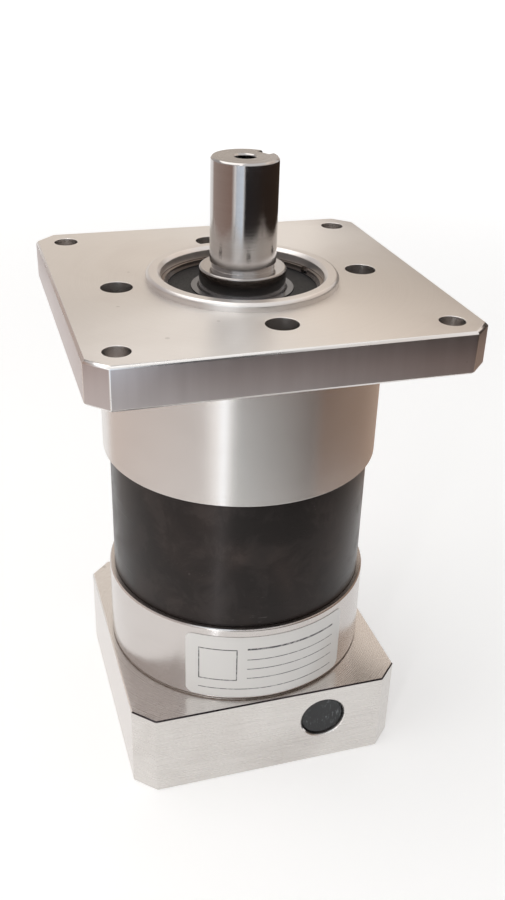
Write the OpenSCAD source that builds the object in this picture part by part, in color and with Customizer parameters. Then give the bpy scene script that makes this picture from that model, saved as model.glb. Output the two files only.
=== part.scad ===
// Two-stage inline planetary gear reducer with a square output flange.
// Millimetres. +Z runs along the gear axis towards the output shaft, and the
// origin is the centre of the motor face, on which the reducer stands.

/* [Output flange] */
// Width across the flats of the square output flange
flange_w = 106.7; // [100:0.1:130]
// Thickness of the flange
flange_t = 12; // [8:0.5:16]
// Flat cut across each corner of the flange, measured along one side
flange_corner = 5.6; // [2:0.1:8]
// Edge break around the flange's faces
flange_edge = 0.8; // [0.2:0.1:1.5]
// Distance from the flange's side to a mounting hole's centre
bolt_inset = 8.9; // [7:0.1:11]
// Diameter of the four mounting holes
bolt_hole_d = 7.14; // [5:0.01:9]
// Diameter of the raised centring pilot
pilot_d = 55.56; // [54:0.01:62]
// Height of the pilot above the flange face
pilot_h = 2.4; // [1.5:0.1:3.5]

/* [Output housing] */
// Height of the output housing, from the ring gear to the flange face
housing_h = 51.6; // [50:0.1:65]
// How far the housing stands proud of the ring gear, per side
housing_step = 2; // [1:0.1:4]

/* [Output shaft] */
// Diameter of the output shaft
shaft_d = 19.05; // [14:0.01:22]
// Length of the shaft beyond the flange face
shaft_l = 34.5; // [30:0.5:60]
// Height of the bearing collar above the flange face
collar_h = 3.8; // [3.6:0.1:6]
// Width of the keyway
keyway_w = 4.76; // [3:0.01:6]
// Depth of the keyway
keyway_depth = 2.7; // [1.5:0.1:3.5]
// Length of the keyway from the shaft's end
keyway_l = 22; // [12:0.5:23]
// Direction that the keyway faces at rest, in degrees from +X
keyway_angle = 28; // [0:1:359]
// Depth of the threaded hole in the shaft's end
end_thread_l = 16; // [10:1:20]

/* [Gears] */
// Module of every gear
gear_module = 0.8; // [0.8:0.05:1]
// Teeth on the ring gear
ring_teeth = 72; // [72:6:84]
// Teeth on the first sun gear
sun1_teeth = 18; // [18:6:24]
// Teeth on the second sun gear
sun2_teeth = 24; // [24:6:30]
// Face width of the first planets
planet1_w = 11; // [9:0.5:14]
// Face width of the second planets
planet2_w = 13.8; // [12:0.1:18]
// Thickness taken off each tooth at the pitch circle, for backlash
tooth_thinning = 0.1; // [0.06:0.01:0.14]
// Wall of the ring gear outside the tooth roots
ring_wall = 10.2; // [10:0.1:13]

/* [Input side] */
// Height of the round input housing
input_h = 27; // [27:0.1:35]
// How far the input housing stands proud of the ring gear, per side
input_step = 1.6; // [0.5:0.1:3]
// Thickness of the square motor adapter
adapter_h = 28.8; // [28:0.1:36]
// How far the adapter's flats stand proud of the input housing
adapter_step = 1.6; // [0.5:0.1:6]
// Flat cut across each corner of the adapter, measured along one side
adapter_corner = 6.3; // [2:0.1:9]
// Diameter of the motor's pilot recess
motor_pilot_d = 73.02; // [72:0.01:76]
// Depth of the motor's pilot recess
motor_pilot_depth = 3; // [2:0.1:4]
// Distance from the adapter's side to a motor screw hole's centre
motor_bolt_inset = 8.4; // [7:0.1:9]
// Diameter of the motor shaft that the clamping hub takes
motor_shaft_d = 14; // [9:0.5:16]
// Distance of the clamp screw's axis from the gear axis
clamp_offset = 17.3; // [17:0.1:18.5]
// Height of the clamp screw's axis above the motor face
clamp_z = 17.1; // [16.5:0.1:18]
// Diameter of the hole that leads to the clamp screw
access_d = 14.2; // [12:0.1:16]

/* [Label] */
// Length of the rating label around the input housing
label_l = 53.4; // [20:0.1:70]
// Height of the rating label
label_h = 23.2; // [10:0.1:24]

/* [Hidden] */
$fn = 96;
eps = 0.01;

// Colours
aluminium = "#c9c4be";
steel = "#8d8a88";
dark_steel = "#2e2b2a";
rubber = "#202226";
bronze = "#b08d57";
brass = "#c8a95a";
paper = "#dcdcda";

// Clearances per side
seat_gap = 0.05;      // pieces that are pressed or screwed together
run_gap = 0.06;       // bushes on their pins, and the seal's lip
shake_gap = 0.1;      // end play of the planets and the first carrier
ball_gap = 0.08;      // a ball in its grooves
part_gap = 1;         // between pieces that turn past each other

// Cap screws: [thread, head diameter, head height, hexagon across flats, clearance hole, counterbore]
m4 = [4, 7, 4, 3, 4.5, 7.5];
m5 = [5, 8.5, 5, 4, 5.5, 9];
m6 = [6, 10, 6, 5, 6.6, 10.8];
housing_screw_l = 40;
ring_screw_l = 30;
adapter_screw_l = 30;
clamp_screw_l = 16;
housing_screw_bite = 14;
ring_screw_bite = 10;
adapter_screw_bite = 10;
tip_room = 1.5;       // hole beyond a screw's tip
screw_tip = 0.5;
screw_edge = 3.5;     // from the ring gear's outside to the centres of its screws
adapter_screw_edge = 9.6;

// Gear train
planets = 3;
pressure_angle = 20;
flank_steps = 4;
addendum = gear_module;
dedendum = 1.25 * gear_module;
planet1_teeth = (ring_teeth - sun1_teeth) / 2;
planet2_teeth = (ring_teeth - sun2_teeth) / 2;
orbit1_r = gear_module * (sun1_teeth + planet1_teeth) / 2;
orbit2_r = gear_module * (sun2_teeth + planet2_teeth) / 2;
ring_tip_r = gear_module * ring_teeth / 2 - addendum;
ring_root_r = gear_module * ring_teeth / 2 + dedendum;
planet_room = 0.7;    // from a planet's tooth tips to the carrier's window
bush_wall = 1.5;
pin1_d = 7;
pin2_d = 8;
pin_recess = 0.4;
washer_t = 0.5;
washer_rim = 2.8;     // washer outside the pin
wear_disc_t = 0.8;
wear_disc_rim = 6;
plate1_t = 4;
plate2_low_t = 3.5;
plate2_top_t = 8;
pin2_seat = 5;        // how far the second planets' pins reach into the carrier's thick plate
carrier_gap = 1;
ring_over = 3.5;      // ring gear beyond the second carrier's windows
sun_end_gap = 0.5;
sun1_shank_d = 10.4;
sun1_shank_l = 9;
sun2_shank_d = 15;
carrier_r = ring_tip_r - part_gap;
window1_h = planet1_w + 2 * (washer_t + shake_gap);
window2_h = planet2_w + 2 * (washer_t + shake_gap);

// Radii of the casings
ring_r = ring_root_r + ring_wall;
housing_r = ring_r + housing_step;
input_r = ring_r + input_step;
adapter_w = 2 * (input_r + adapter_step);
screw_r = ring_r - screw_edge;
adapter_screw_r = input_r - adapter_screw_edge;
bolt_at = flange_w / 2 - bolt_inset;
motor_bolt_at = adapter_w / 2 - motor_bolt_inset;
motor_bolt_d = 5;
motor_bolt_l = 15;
spigot_ledge = 1.2;   // from the ring gear's tooth roots out to its spigot bores
spigot_r = ring_root_r + spigot_ledge;
spigot_in_r = ring_tip_r + 0.4;
spigot_l = 3.4;
spigot_room = 0.3;
adapter_spigot_wall = 1.1;
adapter_spigot_r = adapter_screw_r - m4[4] / 2 - adapter_spigot_wall;
adapter_spigot_l = 1.9;
casing_edge = 0.4;
small_edge = 0.3;

// Heights, from the motor face up
input_top_z = adapter_h + input_h;
window1_z = input_top_z + plate1_t;
window1_top_z = window1_z + window1_h;
plate1_top_z = window1_top_z + plate1_t;
carrier2_z = plate1_top_z + carrier_gap;
window2_z = carrier2_z + plate2_low_t;
window2_top_z = window2_z + window2_h;
ring_top_z = window2_top_z + ring_over;
carrier2_top_z = window2_top_z + plate2_top_t;
face_z = ring_top_z + housing_h;
collar_z = face_z + collar_h;
shaft_end_z = face_z + shaft_l;

// Ball bearings: [bore, outside, width, ball, number of balls, inner shoulder radius,
// outer shoulder radius, inner face radius, outer face radius]
small_bearing = [25, 47, 12, 6.35, 10, 15.7, 20.4, 14.8, 21.6];
large_bearing = [30, 55, 13, 7.14, 11, 18.5, 24, 17.6, 25];
front_bearing_depth = 2.1;
rear_shoulder_h = 3.5;
front_bearing_z = face_z - front_bearing_depth - width(small_bearing);
rear_bearing_z = carrier2_top_z + rear_shoulder_h;
race_edge = 0.5;
shield_t = 1.2;
shield_recess = 0.25;
shield_gap = 0.1;
cage_t = 1.6;
cage_rim = 0.8;
pocket_gap = 0.15;
bore_mouth = 1;
front_web_r = 20.5;

// Retaining rings
snap_t = 1.2;
snap_in_r = 22.4;
snap_groove_r = 24.6;
snap_slot = 3;
snap_slot_angle = 18;
circlip_t = 1.5;
circlip_bite = 1.4;
circlip_w = 2.4;
circlip_slot = 9;
circlip_ear_d = 3.8;
circlip_eye_d = 2.2;
circlip_room = 2.5;   // between the input bearing's circlip and the wear disc
input_bearing_z =
    input_top_z - wear_disc_t - circlip_room - circlip_t - width(large_bearing);

// Clamping hub, collar and seal
hub_seal_r = 17.4;
seal_r = 26;
seal_h = 7;
seal_shell_t = 2.2;
seal_lip_w = 2;
seal_low = 1.6;
seal_recess = 0.7;
seal_web_r = 24;
hub_foot_z = 5;
hub_sleeve_r = motor_shaft_d / 2 + 4;
hub_bore_l = 34;
hub_mouth = 0.5;
hub_slit_w = 1.6;
hub_slit_l = 18;
hub_end_room = 0.8;
clamp_collar_r = 23;
clamp_collar_h = 15;
clamp_slit_w = 2.5;
clamp_seat_y = 6.5;
sweep_room = 1.4;     // between the clamp screw's head and the adapter
clamp_top_z = clamp_z + clamp_collar_h / 2;
clamp_sweep_r = norm([clamp_offset + m6[1] / 2, clamp_seat_y + m6[2]]);
cavity_r = clamp_sweep_r + sweep_room;

hub_top_z = input_top_z - wear_disc_t - hub_end_room;

// Trim
shaft_edge = 0.5;
undercut_w = 1.6;
undercut_depth = 0.5;
end_thread_d = 6;
end_mouth_d = 6.8;
label_t = 0.12;
label_gap = 0.05;
label_corner_r = 2.2;
label_low_z = adapter_h + 1.2;
label_shift = -0.5;
plug_recess = 0.9;
plug_l = 10;
plug_wall = 1.6;
plug_edge = 0.5;
access_edge = 0.5;
oring_d = 1.3;
oring_from_spigot = 0.7;

// A bearing's sizes by name
function bore_r(b) = b[0] / 2;
function outside_r(b) = b[1] / 2;
function width(b) = b[2];
function ball_r(b) = b[3] / 2;
function balls(b) = b[4];
function inner_shoulder_r(b) = b[5];
function outer_shoulder_r(b) = b[6];
function inner_face_r(b) = b[7];
function outer_face_r(b) = b[8];
function pitch_r(b) = (b[0] + b[1]) / 4;

// Angle, in degrees, at which an involute of base_r reaches radius r
function unroll(base_r, r) = sqrt(pow(max(r / base_r, 1), 2) - 1) * 180 / PI;

// The involute's point at angle a, with its start on +X
function involute(base_r, a) =
    base_r * [cos(a) + a * PI / 180 * sin(a), sin(a) - a * PI / 180 * cos(a)];

// Direction of the involute's point at radius r
function involute_turn(base_r, r) =
    let (a = unroll(base_r, r)) a - atan(a * PI / 180);

function turned(p, a) = [p.x * cos(a) - p.y * sin(a), p.x * sin(a) + p.y * cos(a)];

// Outline of a spur gear with a tooth centred on +X, and each tooth made thicker at the
// pitch circle by the given amount
function gear_points(teeth, thicker, low_r, high_r) =
    let (
        gear_r = gear_module * teeth / 2,
        base_r = gear_r * cos(pressure_angle),
        half = 90 / teeth + thicker / gear_r * 90 / PI,
        start = half + involute_turn(base_r, gear_r),
        from_a = unroll(base_r, low_r),
        to_a = unroll(base_r, high_r),
        root = base_r > low_r ? [[low_r, 0]] : [],
        flank = [
            for (i = [0 : flank_steps])
                involute(base_r, from_a + (to_a - from_a) * i / flank_steps)
        ],
        side = concat(root, flank),
        last = len(side) - 1
    )
    [
        for (t = [0 : teeth - 1])
            each concat(
                [for (p = side) turned(p, t * 360 / teeth - start)],
                [for (i = [last : -1 : 0])
                    turned([side[i].x, -side[i].y], t * 360 / teeth + start)]
            )
    ];

module gear_profile(teeth) {
    gear_r = gear_module * teeth / 2;
    polygon(gear_points(teeth, -tooth_thinning, gear_r - dedendum, gear_r + addendum));
}

// The ring gear's spaces are the teeth of a gear with as much added to each
module ring_space_profile() {
    gear_r = gear_module * ring_teeth / 2;
    polygon(gear_points(ring_teeth, tooth_thinning, gear_r - addendum, gear_r + dedendum));
}

// A round bar from z = 0 up, with its edges broken
module rod(r, h, low_edge = 0, high_edge = 0) {
    rotate_extrude()
        polygon([
            [0, 0], [r - low_edge, 0], [r, low_edge],
            [r, h - high_edge], [r - high_edge, h], [0, h]
        ]);
}

module tube(out_r, in_r, h) {
    difference() {
        cylinder(r = out_r, h = h);
        translate([0, 0, -eps]) cylinder(r = in_r, h = h + 2 * eps);
    }
}

module at_z(z) {
    translate([0, 0, z]) children();
}

module around(count, r, first = 0) {
    for (i = [0 : count - 1])
        rotate(first + i * 360 / count) translate([r, 0, 0]) children();
}

module at_corners(d) {
    for (x = [-d, d], y = [-d, d])
        translate([x, y, 0]) children();
}

// A square plate from z = 0 up, with cut corners and broken edges
module corner_plate(w, h, corner, edge) {
    cut_w = sqrt(2) * (w - corner);
    intersection_for (side = [[0, w], [45, cut_w], [90, w], [135, cut_w]])
        rotate([90, 0, side[0]])
            linear_extrude(2 * w, center = true)
                polygon([
                    [-side[1] / 2 + edge, 0], [side[1] / 2 - edge, 0],
                    [side[1] / 2, edge], [side[1] / 2, h - edge],
                    [side[1] / 2 - edge, h], [-side[1] / 2 + edge, h],
                    [-side[1] / 2, h - edge], [-side[1] / 2, edge]
                ]);
}

// A socket cap screw whose head sits on z = 0 and whose thread hangs below
module cap_screw(size, l) {
    difference() {
        union() {
            at_z(-l) rod(size[0] / 2, l + eps, screw_tip);
            rod(size[1] / 2, size[2], 0, small_edge);
        }
        at_z(size[2] / 2) cylinder(d = size[3] / cos(30), h = size[2], $fn = 6);
    }
}

// Room for that screw: a counterbore above z = 0 and a clearance hole below
module cap_screw_room(size, l, over) {
    at_z(-l) cylinder(d = size[4], h = l + eps);
    cylinder(d = size[5], h = over);
}

// The threaded end of a screw hole, from z = 0 down
module thread_hole(size, bite) {
    at_z(-bite - tip_room) cylinder(d = size[0] + 2 * seat_gap, h = bite + tip_room + eps);
}

module oring_groove(z) {
    at_z(z)
        tube(spigot_r + oring_from_spigot + oring_d + 2 * seat_gap,
            spigot_r + oring_from_spigot, oring_d + 2 * seat_gap);
}

module oring(z) {
    at_z(z)
        rotate_extrude()
            translate([spigot_r + oring_from_spigot + seat_gap + oring_d / 2, 0])
                circle(d = oring_d, $fn = 32);
}

// Bearings

module outer_race(b) {
    r = outside_r(b) - seat_gap;
    w = width(b);
    step = shield_recess + shield_t;
    rotate_extrude()
        difference() {
            polygon([
                [outer_face_r(b), 0], [r - race_edge, 0], [r, race_edge],
                [r, w - race_edge], [r - race_edge, w], [outer_face_r(b), w],
                [outer_face_r(b), w - step], [outer_shoulder_r(b), w - step],
                [outer_shoulder_r(b), step], [outer_face_r(b), step]
            ]);
            translate([pitch_r(b), w / 2]) circle(ball_r(b) + ball_gap);
        }
}

module inner_race(b) {
    r = bore_r(b) + seat_gap;
    w = width(b);
    step = shield_recess + shield_t;
    rotate_extrude()
        difference() {
            polygon([
                [inner_face_r(b), 0], [r + race_edge, 0], [r, race_edge],
                [r, w - race_edge], [r + race_edge, w], [inner_face_r(b), w],
                [inner_face_r(b), w - step], [inner_shoulder_r(b), w - step],
                [inner_shoulder_r(b), step], [inner_face_r(b), step]
            ]);
            translate([pitch_r(b), w / 2]) circle(ball_r(b) + ball_gap);
        }
}

module shields(b) {
    for (z = [shield_recess, width(b) - shield_recess - shield_t])
        at_z(z)
            tube(outer_face_r(b) - seat_gap, inner_face_r(b) + shield_gap, shield_t);
}

module ball_set(b) {
    around(balls(b), pitch_r(b)) at_z(width(b) / 2) sphere(ball_r(b));
}

module cage(b) {
    pocket_r = ball_r(b) + pocket_gap;
    h = 2 * (pocket_r + cage_rim);
    difference() {
        at_z((width(b) - h) / 2)
            tube(pitch_r(b) + cage_t / 2, pitch_r(b) - cage_t / 2, h);
        around(balls(b), pitch_r(b))
            at_z(width(b) / 2)
                rotate([0, 90, 0]) cylinder(r = pocket_r, h = 2 * cage_t, center = true);
    }
}

// Retaining rings

// A ring in a bore, with its ears turned in
module bore_circlip(bore, t, slot_angle) {
    ear_r = bore - circlip_w - circlip_ear_d / 4;
    ear_turn = asin((circlip_slot + circlip_ear_d) / 2 / ear_r);
    rotate(slot_angle)
        difference() {
            union() {
                difference() {
                    tube(bore + circlip_bite, bore - circlip_w, t);
                    translate([0, -circlip_slot / 2, -eps])
                        cube([2 * bore, circlip_slot, t + 2 * eps]);
                }
                for (a = [-ear_turn, ear_turn])
                    rotate(a) translate([ear_r, 0, 0]) cylinder(d = circlip_ear_d, h = t);
            }
            for (a = [-ear_turn, ear_turn])
                rotate(a)
                    translate([ear_r, 0, -eps])
                        cylinder(d = circlip_eye_d, h = t + 2 * eps);
        }
}

// A ring in a shaft's groove
module shaft_ring(shaft, t, slot_angle) {
    rotate(slot_angle)
        difference() {
            tube(shaft + circlip_w, shaft - circlip_bite + seat_gap, t);
            translate([0, -circlip_slot / 2, -eps])
                cube([2 * shaft, circlip_slot, t + 2 * eps]);
        }
}

module shaft_groove(shaft, z, t) {
    at_z(z) tube(2 * shaft, shaft - circlip_bite, t);
}

// Casings

module output_housing() {
    seat_r = outside_r(small_bearing);
    rear_seat_r = outside_r(large_bearing);
    rear_top_z = rear_bearing_z + width(large_bearing);
    color(aluminium)
        difference() {
            union() {
                at_z(ring_top_z - spigot_l) rod(spigot_r, spigot_l + eps, casing_edge);
                at_z(ring_top_z) rod(housing_r, face_z - ring_top_z - eps, casing_edge);
                at_z(face_z - flange_t)
                    corner_plate(flange_w, flange_t, flange_corner, flange_edge);
                at_z(face_z - eps) rod(pilot_d / 2, pilot_h + eps, 0, flange_edge);
            }
            at_z(ring_top_z - spigot_l - eps)
                cylinder(r = spigot_in_r,
                    h = carrier2_top_z + part_gap - ring_top_z + spigot_l + eps);
            at_z(ring_top_z) cylinder(r = rear_seat_r, h = rear_top_z - ring_top_z);
            at_z(rear_top_z - eps)
                cylinder(r = front_web_r, h = front_bearing_z - rear_top_z + 2 * eps);
            at_z(front_bearing_z) cylinder(r = seat_r, h = face_z + pilot_h);
            at_z(face_z + pilot_h - bore_mouth)
                cylinder(r1 = seat_r, r2 = seat_r + bore_mouth + eps, h = bore_mouth + eps);
            at_z(face_z - front_bearing_depth) cylinder(r = snap_groove_r, h = snap_t + 0.1);
            at_z(rear_bearing_z - circlip_t)
                cylinder(r = rear_seat_r + circlip_bite + seat_gap, h = circlip_t);
            oring_groove(ring_top_z - eps);
            around(4, screw_r)
                at_z(ring_top_z - housing_screw_bite + housing_screw_l)
                    cap_screw_room(m5, housing_screw_l, housing_h);
            at_corners(bolt_at)
                at_z(face_z - flange_t - eps) cylinder(d = bolt_hole_d, h = flange_t + 2 * eps);
        }
}

module ring_gear() {
    color(dark_steel)
        difference() {
            at_z(input_top_z)
                rod(ring_r, ring_top_z - input_top_z, casing_edge, casing_edge);
            at_z(input_top_z - eps)
                linear_extrude(ring_top_z - input_top_z + 2 * eps) ring_space_profile();
            for (z = [input_top_z - eps, ring_top_z - spigot_l - spigot_room])
                at_z(z) cylinder(r = spigot_r + seat_gap, h = spigot_l + spigot_room + eps);
            around(4, screw_r) at_z(ring_top_z) thread_hole(m5, housing_screw_bite);
            around(4, screw_r, 45)
                at_z(input_top_z)
                    mirror([0, 0, 1]) thread_hole(m4, ring_screw_bite);
        }
}

module input_housing() {
    seat_r = outside_r(large_bearing);
    disc_z = input_top_z - wear_disc_t;
    color(aluminium)
        difference() {
            union() {
                at_z(adapter_h - adapter_spigot_l)
                    rod(adapter_spigot_r - seat_gap, adapter_spigot_l + eps, casing_edge);
                at_z(adapter_h) rod(input_r, input_h, casing_edge, casing_edge);
                at_z(input_top_z - eps) rod(spigot_r, spigot_l + eps, 0, casing_edge);
            }
            at_z(adapter_h - adapter_spigot_l - eps)
                cylinder(r = seal_r, h = adapter_spigot_l + seal_recess + seal_h + eps);
            at_z(adapter_h) cylinder(r = seal_web_r, h = input_h);
            at_z(input_bearing_z) cylinder(r = seat_r, h = disc_z - input_bearing_z + eps);
            at_z(disc_z) cylinder(r = spigot_in_r, h = wear_disc_t + spigot_l + eps);
            at_z(input_bearing_z + width(large_bearing))
                cylinder(r = seat_r + circlip_bite + seat_gap, h = circlip_t);
            oring_groove(input_top_z - oring_d - 2 * seat_gap + eps);
            around(4, screw_r, 45)
                at_z(input_top_z + ring_screw_bite - ring_screw_l)
                    mirror([0, 0, 1]) cap_screw_room(m4, ring_screw_l, input_h);
            around(4, adapter_screw_r)
                at_z(adapter_h) mirror([0, 0, 1]) thread_hole(m4, adapter_screw_bite);
        }
}

module motor_adapter() {
    color(aluminium)
        difference() {
            corner_plate(adapter_w, adapter_h, adapter_corner, casing_edge);
            at_z(-eps) cylinder(r = cavity_r, h = adapter_h + 2 * eps);
            at_z(-eps) cylinder(d = motor_pilot_d, h = motor_pilot_depth + eps);
            at_z(adapter_h - adapter_spigot_l - spigot_room)
                cylinder(r = adapter_spigot_r, h = adapter_spigot_l + spigot_room + eps);
            around(4, adapter_screw_r)
                at_z(adapter_h + adapter_screw_bite - adapter_screw_l)
                    mirror([0, 0, 1]) cap_screw_room(m4, adapter_screw_l, adapter_h);
            at_corners(motor_bolt_at)
                at_z(-eps) cylinder(d = motor_bolt_d, h = motor_bolt_l + eps);
            translate([clamp_offset, 0, clamp_z])
                rotate([90, 0, 0]) cylinder(d = access_d, h = adapter_w);
            translate([clamp_offset, eps - adapter_w / 2, clamp_z])
                rotate([90, 0, 180])
                    mirror([0, 0, 1])
                        cylinder(d1 = access_d, d2 = access_d + 2 * access_edge, h = access_edge);
        }
}

module access_plug() {
    plug_d = access_d - 2 * run_gap;
    color(rubber)
        translate([clamp_offset, plug_recess - adapter_w / 2, clamp_z])
            rotate([-90, 0, 0])
                difference() {
                    rod(plug_d / 2, plug_l, plug_edge, plug_edge);
                    at_z(plug_wall) cylinder(r = plug_d / 2 - plug_wall, h = plug_l);
                }
}

module rating_label() {
    half = input_r * sin(label_l / 2 / input_r * 180 / PI);
    shift = label_shift / input_r * 180 / PI;
    color(paper)
        rotate(shift)
            intersection() {
                at_z(label_low_z)
                    tube(input_r + label_gap + label_t, input_r + label_gap, label_h);
                rotate([90, 0, 0])
                    linear_extrude(2 * input_r)
                        translate([0, label_low_z + label_h / 2])
                            round_plate(2 * half, label_h, label_corner_r);
            }
}

module round_plate(w, h, r) {
    square([w - 2 * r, h], center = true);
    square([w, h - 2 * r], center = true);
    for (x = [r - w / 2, w / 2 - r], y = [r - h / 2, h / 2 - r])
        translate([x, y]) circle(r, $fn = 48);
}

module output_joint_oring() {
    color(rubber) oring(ring_top_z + oring_d / 2 + seat_gap);
}

module input_joint_oring() {
    color(rubber) oring(input_top_z - oring_d / 2 - seat_gap);
}

module housing_screws() {
    color(dark_steel)
        around(4, screw_r)
            at_z(ring_top_z - housing_screw_bite + housing_screw_l)
                cap_screw(m5, housing_screw_l);
}

module ring_screws() {
    color(dark_steel)
        around(4, screw_r, 45)
            at_z(input_top_z + ring_screw_bite - ring_screw_l)
                mirror([0, 0, 1]) cap_screw(m4, ring_screw_l);
}

module adapter_screws() {
    color(dark_steel)
        around(4, adapter_screw_r)
            at_z(adapter_h + adapter_screw_bite - adapter_screw_l)
                mirror([0, 0, 1]) cap_screw(m4, adapter_screw_l);
}

module front_snap_ring() {
    color(dark_steel)
        at_z(face_z - front_bearing_depth)
            rotate(snap_slot_angle)
                difference() {
                    tube(snap_groove_r - seat_gap, snap_in_r, snap_t);
                    translate([0, -snap_slot / 2, -eps])
                        cube([2 * snap_groove_r, snap_slot, snap_t + 2 * eps]);
                }
}

module rear_bearing_circlip() {
    color(dark_steel)
        at_z(rear_bearing_z - circlip_t)
            bore_circlip(outside_r(large_bearing), circlip_t, 45);
}

module input_bearing_circlip() {
    color(dark_steel)
        at_z(input_bearing_z + width(large_bearing))
            bore_circlip(outside_r(large_bearing), circlip_t, 200);
}

module input_seal() {
    r = seal_r - seat_gap;
    lip_r = hub_seal_r + run_gap;
    color(rubber)
        at_z(adapter_h + seal_recess)
            rotate_extrude()
                polygon([
                    [r, small_edge], [r, seal_h], [lip_r + seal_lip_w, seal_h],
                    [lip_r, seal_h - seal_shell_t], [lip_r, seal_h - 1.4 * seal_shell_t],
                    [lip_r + 0.8 * seal_lip_w, seal_low], [lip_r + 1.6 * seal_lip_w, seal_low],
                    [lip_r + 1.5 * seal_lip_w, seal_h - seal_shell_t],
                    [r - seal_shell_t, seal_h - seal_shell_t], [r - seal_shell_t, 0],
                    [r - small_edge, 0]
                ]);
}

module carrier_wear_disc() {
    color(bronze)
        at_z(input_top_z - wear_disc_t)
            tube(spigot_in_r - seat_gap, spigot_in_r - wear_disc_rim, wear_disc_t);
}

// Output shaft, which is one piece with the second carrier

module carrier_windows(count, orbit, tip_r, z, h) {
    around(count, orbit) at_z(z) cylinder(r = tip_r + planet_room, h = h);
}

module output_shaft() {
    seat_r = bore_r(large_bearing);
    collar_r = bore_r(small_bearing);
    tip_r = gear_module * planet2_teeth / 2 + addendum;
    sun_room_r = gear_module * sun2_teeth / 2 + addendum + part_gap;
    rear_top_z = rear_bearing_z + width(large_bearing);
    color(steel)
        difference() {
            union() {
                at_z(carrier2_z)
                    rod(carrier_r, carrier2_top_z - carrier2_z, casing_edge, casing_edge);
                at_z(carrier2_top_z - eps)
                    cylinder(r = inner_face_r(large_bearing) - shield_gap,
                        h = rear_shoulder_h + eps);
                at_z(rear_bearing_z - eps)
                    cylinder(r = seat_r, h = front_bearing_z - rear_bearing_z + eps);
                at_z(front_bearing_z - eps)
                    rod(collar_r, collar_z - front_bearing_z + eps, 0, casing_edge);
                rotate(keyway_angle) at_z(collar_z - eps)
                    rod(shaft_d / 2, shaft_end_z - collar_z + eps, 0, shaft_edge);
            }
            carrier_windows(planets, orbit2_r, tip_r, window2_z, window2_h);
            at_z(carrier2_z - eps)
                cylinder(r = sun_room_r, h = window2_top_z - carrier2_z + eps);
            around(planets, orbit2_r)
                at_z(carrier2_z - eps)
                    cylinder(d = pin2_d + 2 * seat_gap, h = window2_top_z + pin2_seat - carrier2_z);
            shaft_groove(seat_r, rear_top_z, circlip_t);
            at_z(collar_z) tube(shaft_d, shaft_d / 2 - undercut_depth, undercut_w);
            at_z(shaft_end_z - end_thread_l) cylinder(d = end_thread_d, h = end_thread_l + eps);
            at_z(shaft_end_z - (end_mouth_d - end_thread_d) / 2)
                cylinder(d1 = end_thread_d, d2 = end_mouth_d + 2 * eps,
                    h = (end_mouth_d - end_thread_d) / 2 + eps);
            keyway();
        }
}

module keyway() {
    rotate(keyway_angle)
        translate([shaft_d / 2 - keyway_depth, 0, shaft_end_z - keyway_l]) {
            translate([0, -keyway_w / 2, keyway_w / 2]) cube([shaft_d, keyway_w, keyway_l]);
            at_z(keyway_w / 2) rotate([0, 90, 0]) cylinder(d = keyway_w, h = shaft_d);
        }
}

module shaft_circlip() {
    color(dark_steel)
        at_z(rear_bearing_z + width(large_bearing))
            shaft_ring(bore_r(large_bearing), circlip_t, 100);
}

module stage2_planet_pins() {
    pin_z = carrier2_z + pin_recess;
    color(steel)
        around(planets, orbit2_r)
            at_z(pin_z)
                rod(pin2_d / 2, window2_top_z + pin2_seat - eps - pin_z, small_edge, small_edge);
}

module washers(orbit, pin_d, z, h) {
    around(planets, orbit)
        for (at = [z, z + h - washer_t])
            at_z(at) tube(pin_d / 2 + washer_rim, pin_d / 2 + run_gap, washer_t);
}

module stage2_thrust_washers() {
    color(bronze) washers(orbit2_r, pin2_d, window2_z, window2_h);
}

module planet_gear(teeth, orbit, pin_d, z, w, i) {
    bore = pin_d / 2 + bush_wall + seat_gap;
    color(steel)
        rotate(i * 360 / planets)
            translate([orbit, 0, z])
                difference() {
                    linear_extrude(w) gear_profile(teeth);
                    at_z(-eps) cylinder(r = bore, h = w + 2 * eps);
                }
}

module planet_bush(orbit, pin_d, z, w, i) {
    color(brass)
        rotate(i * 360 / planets)
            translate([orbit, 0, z])
                tube(pin_d / 2 + bush_wall, pin_d / 2 + run_gap, w);
}

module stage2_planet_gear(i) {
    planet_gear(planet2_teeth, orbit2_r, pin2_d,
        window2_z + washer_t + shake_gap, planet2_w, i);
}

module stage2_planet_bush(i) {
    planet_bush(orbit2_r, pin2_d, window2_z + washer_t + shake_gap, planet2_w, i);
}

// First carrier, which drives the second sun gear

module stage1_carrier() {
    tip_r = gear_module * planet1_teeth / 2 + addendum;
    sun_room_r = gear_module * sun1_teeth / 2 + addendum + part_gap;
    low_z = input_top_z + shake_gap;
    color(steel)
        difference() {
            at_z(low_z) rod(carrier_r, plate1_top_z - low_z, casing_edge, casing_edge);
            carrier_windows(planets, orbit1_r, tip_r, window1_z, window1_h);
            at_z(low_z - eps) cylinder(r = sun_room_r, h = window1_top_z - low_z + eps);
            at_z(low_z) cylinder(d = sun2_shank_d + 2 * seat_gap, h = plate1_top_z);
            around(planets, orbit1_r)
                at_z(low_z - eps)
                    cylinder(d = pin1_d + 2 * seat_gap, h = plate1_top_z - low_z + 2 * eps);
        }
}

module stage1_planet_pins() {
    low_z = input_top_z + shake_gap + pin_recess;
    color(steel)
        around(planets, orbit1_r)
            at_z(low_z)
                rod(pin1_d / 2, plate1_top_z - pin_recess - low_z, small_edge, small_edge);
}

module stage1_thrust_washers() {
    color(bronze) washers(orbit1_r, pin1_d, window1_z, window1_h);
}

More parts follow.
